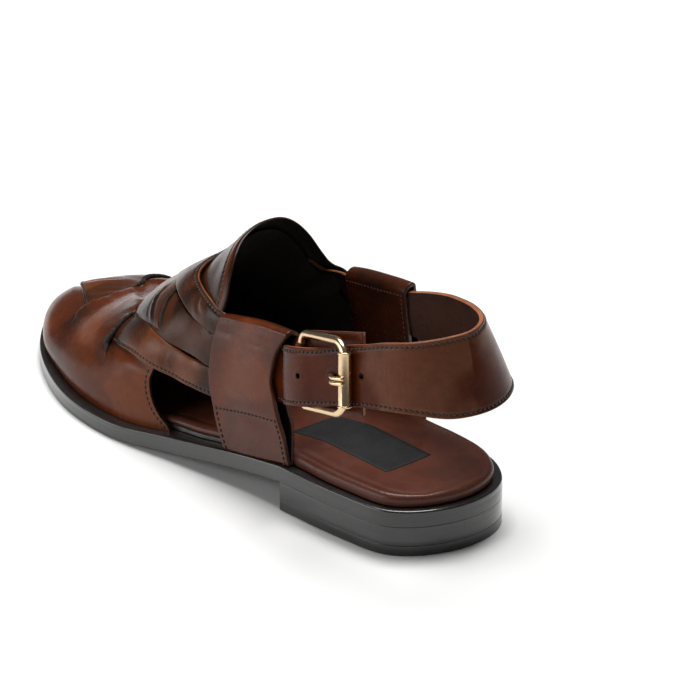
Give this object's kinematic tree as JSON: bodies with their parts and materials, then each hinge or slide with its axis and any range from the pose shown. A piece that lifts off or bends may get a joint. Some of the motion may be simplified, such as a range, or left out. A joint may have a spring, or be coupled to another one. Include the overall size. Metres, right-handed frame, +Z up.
{
  "type": "peshawari chappal",
  "caption": "Left peshawari chappal in brown leather: closed woven-strap toe, high rounded instep tongue, folded side bands and a buckled heel strap on a stacked black heel.",
  "frame": {"origin": "middle of the heel's wearing face, on the floor", "axes": "+Z up, +Y from heel to toe, +X to the inner side of the left foot"},
  "size_m": [0.1088, 0.3023, 0.1001],
  "materials": {
    "outsole": "black waxed leather edge, semi-gloss",
    "heel_block": "black polished stacked lifts",
    "heel_top_lift": "black rubber lift, polished side",
    "insole_board": "dark grey-brown board edge",
    "footbed": "padded brown leather sock, satin",
    "upper": "burnished red-brown leather, glossy",
    "instep_tongue": "burnished red-brown leather, glossy",
    "side_band": "burnished red-brown leather, glossy",
    "heel_strap": "burnished brown leather, glossy, raw edges",
    "chape": "dark brown leather, raw edges",
    "buckle": "pale gold plated, polished"
  },
  "bodies": {
    "root": {"outsole": "outsole", "heel_block": "heel_block", "heel_top_lift": "heel_top_lift", "insole_board": "insole_board", "footbed": "footbed", "upper": "upper", "instep_tongue": "instep_tongue", "lateral_side_band": "side_band", "medial_side_band": "side_band", "heel_strap": "heel_strap", "buckle_chape": "chape", "buckle_frame": "buckle", "buckle_roller": "buckle", "buckle_prong": "buckle"}
  },
  "joints": []
}
